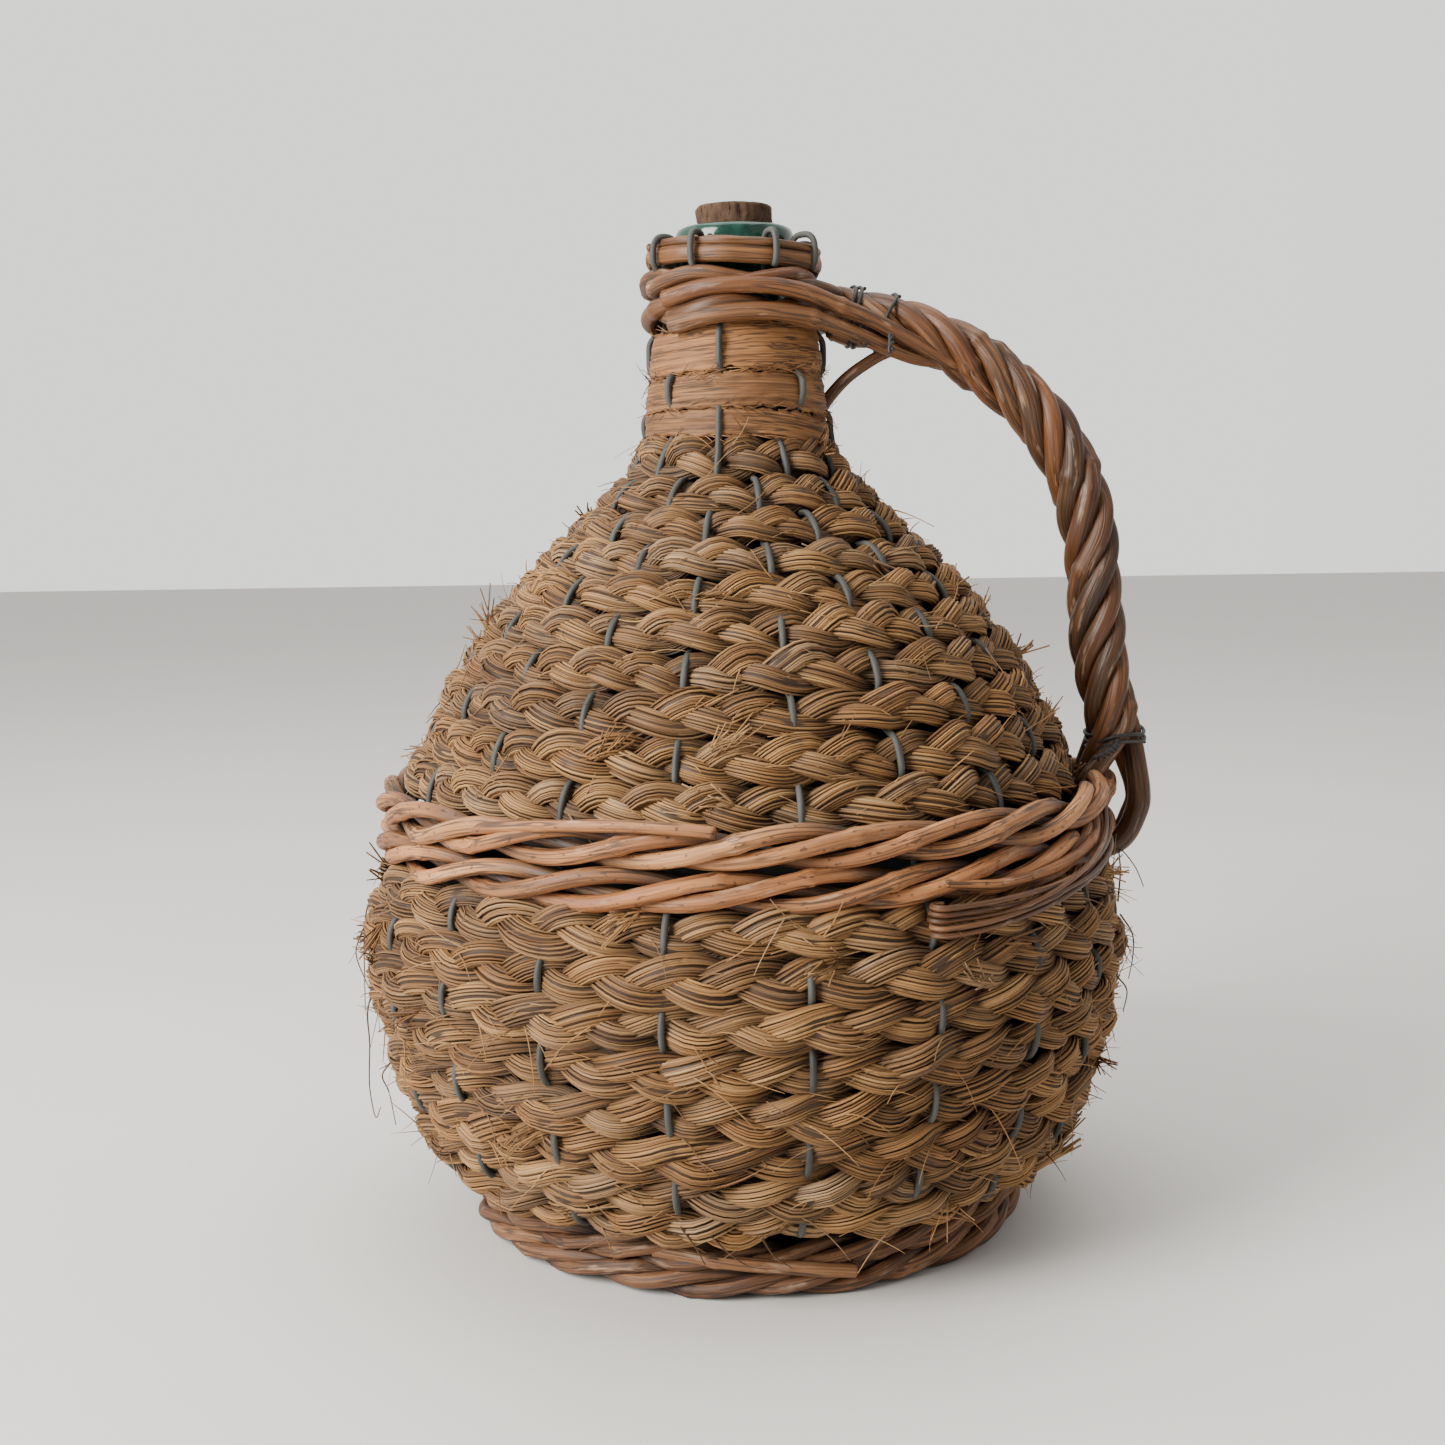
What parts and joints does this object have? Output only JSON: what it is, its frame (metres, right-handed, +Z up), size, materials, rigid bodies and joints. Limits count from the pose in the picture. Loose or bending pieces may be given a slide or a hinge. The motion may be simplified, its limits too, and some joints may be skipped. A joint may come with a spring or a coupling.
{
  "type": "glass carboy",
  "caption": "Green glass carboy with a cork, in a basket of plaited straw woven on wire stakes, with willow bands, a foot ring and a twisted rod handle at one side.",
  "frame": {"origin": "on the bottle's axis, at the level of the table that the foot ring stands on; the middle of the base mat is 2.5 mm above it", "axes": "+Z up along the bottle's axis through the cork; +X towards the side with the handle; -Y is the front"},
  "size_m": [0.3113, 0.2994, 0.3915],
  "materials": {
    "green_glass": "clear green, a little dusty",
    "cork": "raw cork, pitted",
    "straw": "dry plaited straw, frayed",
    "willow": "smooth peeled willow, satin",
    "pale_willow": "pale peeled willow, matt",
    "bark": "split bark strip, frayed",
    "cane": "split cane, satin",
    "stake_wire": "dull galvanised wire",
    "tie_wire": "black annealed wire"
  },
  "bodies": {
    "carboy": {"glass_bottle": "green_glass", "base_mat": "straw", "foot_rod_1": "pale_willow", "foot_rod_2": "pale_willow", "foot_rod_3": "pale_willow", "lower_straw_plait": "straw", "upper_straw_plait": "straw", "band_rod_1": "willow", "band_rod_2": "willow", "band_rod_3": "willow", "band_rod_4": "willow", "band_rod_5": "willow", "band_rod_6": "willow", "neck_strip_lower": "bark", "neck_strip_middle": "bark", "neck_strip_upper": "bark", "collar_cane_inner": "cane", "collar_cane_outer": "cane", "neck_loop_lower_ply_a": "willow", "neck_loop_lower_ply_b": "willow", "neck_loop_upper_ply_a": "willow", "neck_loop_upper_ply_b": "willow", "handle_rod_1": "willow", "handle_rod_2": "willow", "handle_rod_3": "willow", "handle_rod_4": "willow", "handle_rod_5": "willow", "handle_strut": "willow", "handle_tie_lower": "tie_wire", "handle_tie_upper": "tie_wire", "handle_tie_root": "tie_wire", "stake_wire_01": "stake_wire", "stake_wire_02": "stake_wire", "stake_wire_03": "stake_wire", "stake_wire_04": "stake_wire", "stake_wire_05": "stake_wire", "stake_wire_06": "stake_wire", "stake_wire_07": "stake_wire", "stake_wire_08": "stake_wire", "stake_wire_09": "stake_wire", "stake_wire_10": "stake_wire", "stake_wire_11": "stake_wire", "stake_wire_12": "stake_wire", "stake_wire_13": "stake_wire", "stake_wire_14": "stake_wire", "stake_wire_15": "stake_wire", "stake_wire_16": "stake_wire", "stake_wire_17": "stake_wire", "stake_wire_18": "stake_wire", "stake_wire_19": "stake_wire", "stake_wire_20": "stake_wire", "stake_wire_21": "stake_wire", "stake_wire_22": "stake_wire", "stake_wire_23": "stake_wire"},
    "stopper": {"cork_stopper": "cork"}
  },
  "joints": [
    {"name": "stopper_pull", "type": "slide", "parent": "carboy", "child": "stopper", "axis": [0, 0, 1], "range_m": [0, 0.06]}
  ]
}
